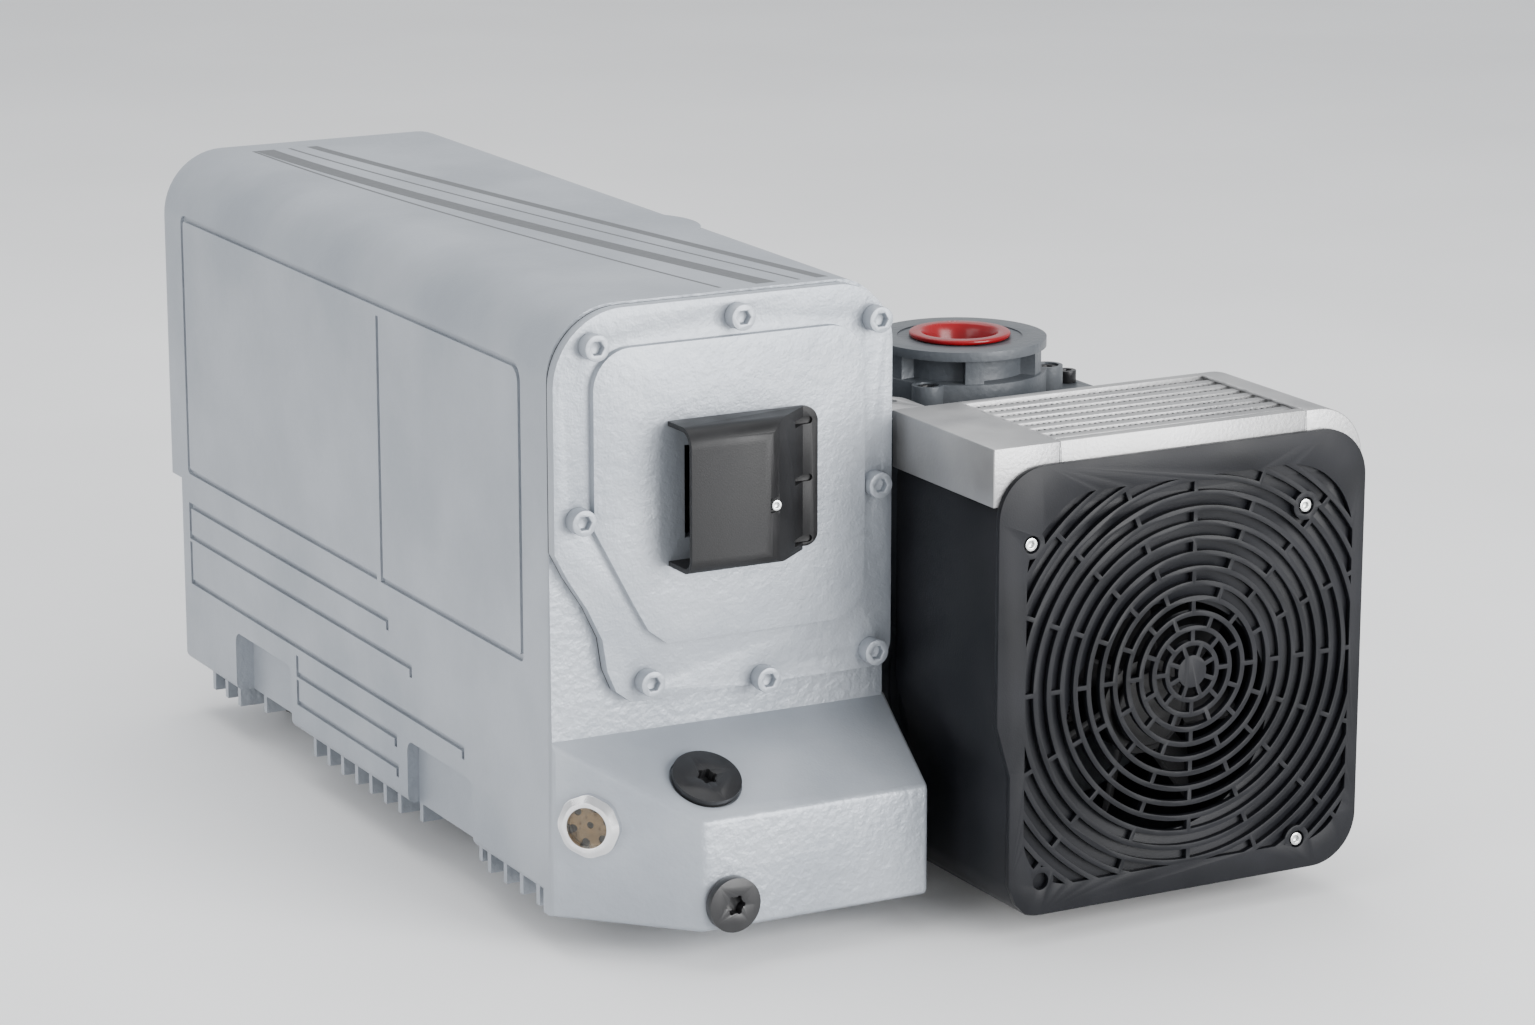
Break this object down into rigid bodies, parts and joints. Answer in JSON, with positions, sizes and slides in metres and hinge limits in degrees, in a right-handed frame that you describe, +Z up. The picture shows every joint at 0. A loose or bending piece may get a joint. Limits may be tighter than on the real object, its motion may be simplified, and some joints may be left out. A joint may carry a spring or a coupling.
{
  "type": "rotary vane vacuum pump",
  "caption": "Oil-sealed rotary vane vacuum pump: ribbed oil casing with exhaust filters, finned motor, fan shroud with ring grille, oil cooler and capped top inlet.",
  "frame": {"origin": "centre of the bounding box, on the ground under the feet", "axes": "+Z up, +Y from the grille and the front cover towards the motor, +X from the oil casing towards the pump"},
  "size_m": [0.6, 0.977, 0.399],
  "materials": {
    "casing_paint": "satin paint over a cast skin",
    "grey_paint": "dark grey paint over a cast skin",
    "motor_paint": "satin paint",
    "black_plastic": "fine grained",
    "charcoal_plastic": "satin, fine grained",
    "black_steel": "black oxide",
    "zinc_steel": "bright zinc",
    "sheet_steel": "cold rolled",
    "filter_cloth": "glass fibre wrap in a fabric sleeve",
    "polished_aluminium": "turned and polished",
    "clear_glass": "clear, oil stained",
    "reflector": "brown",
    "black_rubber": "matte",
    "copper": "soft copper ring",
    "brass_float": "soldered sheet brass",
    "machined_steel": "ground and turned",
    "vane_composite": "pressed fibre",
    "cast_aluminium": "die cast",
    "cooler_aluminium": "raw, brazed",
    "disc_polymer": "moulded",
    "cap_red": "glossy red",
    "filter_can": "black enamel",
    "iron_hub": "as cast",
    "spider_polymer": "yellow elastomer",
    "winding": "varnished copper winding on laminations"
  },
  "bodies": {
    "frame": {"oil_casing": "casing_paint", "casing_cover": "casing_paint", "cover_screws": "casing_paint", "inlet_flange": "grey_paint", "pump_cylinder": "grey_paint", "front_end_plate": "grey_paint", "rear_end_plate": "grey_paint", "coupling_housing": "grey_paint", "oil_filter_head": "grey_paint", "motor_frame": "motor_paint", "motor_cowl": "motor_paint", "terminal_box": "motor_paint", "exhaust_hood": "black_plastic", "fan_shroud": "charcoal_plastic", "fan_grille": "charcoal_plastic", "end_plate_screws": "black_steel", "flange_screws": "black_steel", "motor_bolts": "black_steel", "hood_screw": "zinc_steel", "grille_screws": "zinc_steel", "foot_studs": "zinc_steel", "check_spring": "zinc_steel", "inlet_strainer": "zinc_steel", "oil_pipes": "zinc_steel", "filter_plate": "sheet_steel", "float_bracket": "sheet_steel", "filter_clips": "sheet_steel", "leaf_stop": "sheet_steel", "exhaust_filters": "filter_cloth", "sight_glass_ring": "polished_aluminium", "sight_glass_lens": "clear_glass", "sight_glass_reflector": "reflector", "rubber_feet": "black_rubber", "cover_gasket": "black_rubber", "shaft_seals": "black_rubber", "bearings": "machined_steel", "cooler_core": "cooler_aluminium", "cooler_tanks": "cooler_aluminium", "cooler_lug": "cooler_aluminium", "cooler_fins": "cooler_aluminium", "oil_filter_cartridge": "filter_can", "motor_stator": "winding"},
    "motor_shaft": {"motor_rotor": "machined_steel", "motor_fan": "black_plastic", "motor_coupling_hub": "iron_hub", "coupling_spider": "spider_polymer"},
    "pump_rotor": {"rotor": "machined_steel", "fan_impeller": "cast_aluminium", "pump_coupling_hub": "iron_hub"},
    "vane_one": {"vane_1": "vane_composite"},
    "vane_two": {"vane_2": "vane_composite"},
    "vane_three": {"vane_3": "vane_composite"},
    "exhaust_valve": {"exhaust_leaf": "sheet_steel"},
    "check_valve": {"check_disc": "disc_polymer"},
    "port_cap": {"inlet_cap": "cap_red"},
    "filler_plug": {"fill_plug": "black_plastic", "fill_plug_seal": "black_rubber"},
    "sump_plug": {"drain_plug": "black_plastic", "drain_plug_seal": "copper"},
    "oil_float": {"float_arm": "brass_float"}
  },
  "joints": [
    {"name": "motor_spin", "type": "hinge", "parent": "frame", "child": "motor_shaft", "pos_m": [0.06269, 0.2135, 0.132], "axis": [0, 1, 0], "continuous": true},
    {"name": "pump_spin", "type": "hinge", "parent": "frame", "child": "pump_rotor", "pos_m": [0.06269, -0.2185, 0.132], "axis": [0, 1, 0], "continuous": true},
    {"name": "vane_one_slide", "type": "slide", "parent": "pump_rotor", "child": "vane_one", "axis": [-0.766, 0, 0.6428], "range_m": [-0.013, 0]},
    {"name": "vane_two_slide", "type": "slide", "parent": "pump_rotor", "child": "vane_two", "axis": [0.1736, 0, 0.9848], "range_m": [0, 0.0058]},
    {"name": "vane_three_slide", "type": "slide", "parent": "pump_rotor", "child": "vane_three", "axis": [-0.9397, 0, -0.342], "range_m": [0, 0.0058]},
    {"name": "exhaust_valve_open", "type": "hinge", "parent": "frame", "child": "exhaust_valve", "pos_m": [-0.03611, -0.2185, 0.164], "axis": [0, 1, 0], "range_deg": [0, 12], "stiffness_Nm_per_rad": 0.3, "springref_deg": -2.86},
    {"name": "check_valve_open", "type": "slide", "parent": "frame", "child": "check_valve", "axis": [0, 0, -1], "range_m": [0, 0.008], "stiffness_N_per_m": 120, "springref_m": -0.004, "deforming": ["check_spring"]},
    {"name": "port_cap_lift", "type": "slide", "parent": "frame", "child": "port_cap", "axis": [0, 0, 1], "range_m": [0, 0.03]},
    {"name": "filler_plug_lift", "type": "slide", "parent": "frame", "child": "filler_plug", "axis": [0, -0.4883, 0.8727], "range_m": [0, 0.025]},
    {"name": "sump_plug_pull", "type": "slide", "parent": "frame", "child": "sump_plug", "axis": [0, -1, 0], "range_m": [0, 0.025]},
    {"name": "float_rise", "type": "hinge", "parent": "frame", "child": "oil_float", "pos_m": [-0.19471, 0.1625, 0.068], "axis": [-1, 0, 0], "range_deg": [0, 15]}
  ],
  "couplings": [
    {"joint": "pump_spin", "follows": "motor_spin", "ratio": 1}
  ]
}
